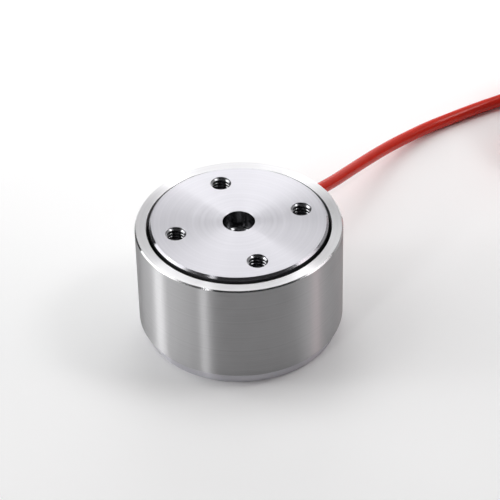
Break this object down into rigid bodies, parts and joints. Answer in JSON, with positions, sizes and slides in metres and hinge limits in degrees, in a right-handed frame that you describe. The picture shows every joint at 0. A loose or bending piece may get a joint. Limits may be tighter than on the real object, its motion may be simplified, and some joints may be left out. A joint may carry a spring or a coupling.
{
  "type": "weighing load cell",
  "caption": "Flat cylindrical steel load cell for tension and compression: proud load disc with tapped holes and a pilot bore in a plain sleeve on a stepped base, with a red signal cable.",
  "frame": {"origin": "centre of the base's underside, on the loading axis", "axes": "+Z is the loading axis, out of the load disc; the bolt circles' holes lie on X and Y; the cable leaves midway between +X and +Y"},
  "size_m": [0.1324, 0.0955, 0.0245],
  "materials": {
    "turned_steel": "facing-turned stainless steel, satin, with fine concentric tool lines",
    "ground_steel": "ground and polished stainless steel",
    "cover_steel": "plain rolled stainless sheet",
    "black_silicone": "cured silicone bead",
    "black_rubber": "moulded rubber",
    "crimp_brass": "crimped brass",
    "board_laminate": "glass laminate with green mask",
    "gauge_film": "amber film with a metal foil grid",
    "gauge_wire": "enamelled copper",
    "resistor": "glazed chip with tinned ends",
    "red_jacket": "extruded red jacket, satin",
    "red_core": "extruded insulation",
    "black_core": "extruded insulation",
    "green_core": "extruded insulation",
    "white_core": "extruded insulation",
    "shrink_sleeve": "shrunk polyolefin, matte",
    "tie_strap": "moulded strap",
    "tinned_wire": "tinned copper strands"
  },
  "bodies": {
    "root": {"bottom_cover": "cover_steel", "bridge_board": "board_laminate", "cable_clamp": "crimp_brass", "cable_coil": "red_jacket", "cable_grommet": "black_rubber", "cable_lead": "red_jacket", "cable_tail": "red_jacket", "coil_tie_1": "tie_strap", "coil_tie_2": "tie_strap", "core_black": "black_core", "core_green": "green_core", "core_red": "red_core", "core_white": "white_core", "elastic_body": "turned_steel", "end_sleeve": "shrink_sleeve", "gap_seal": "black_silicone", "gauge_wires_1": "gauge_wire", "gauge_wires_2": "gauge_wire", "gauge_wires_3": "gauge_wire", "gauge_wires_4": "gauge_wire", "lead_black": "black_core", "lead_green": "green_core", "lead_red": "red_core", "lead_tips": "tinned_wire", "lead_white": "white_core", "sleeve": "ground_steel", "strain_gauge_1": "gauge_film", "strain_gauge_2": "gauge_film", "strain_gauge_3": "gauge_film", "strain_gauge_4": "gauge_film", "strain_gauge_5": "gauge_film", "strain_gauge_6": "gauge_film", "strain_gauge_7": "gauge_film", "strain_gauge_8": "gauge_film", "trim_resistor_1": "resistor", "trim_resistor_2": "resistor", "trim_resistor_3": "resistor", "trim_resistor_4": "resistor"}
  },
  "joints": []
}
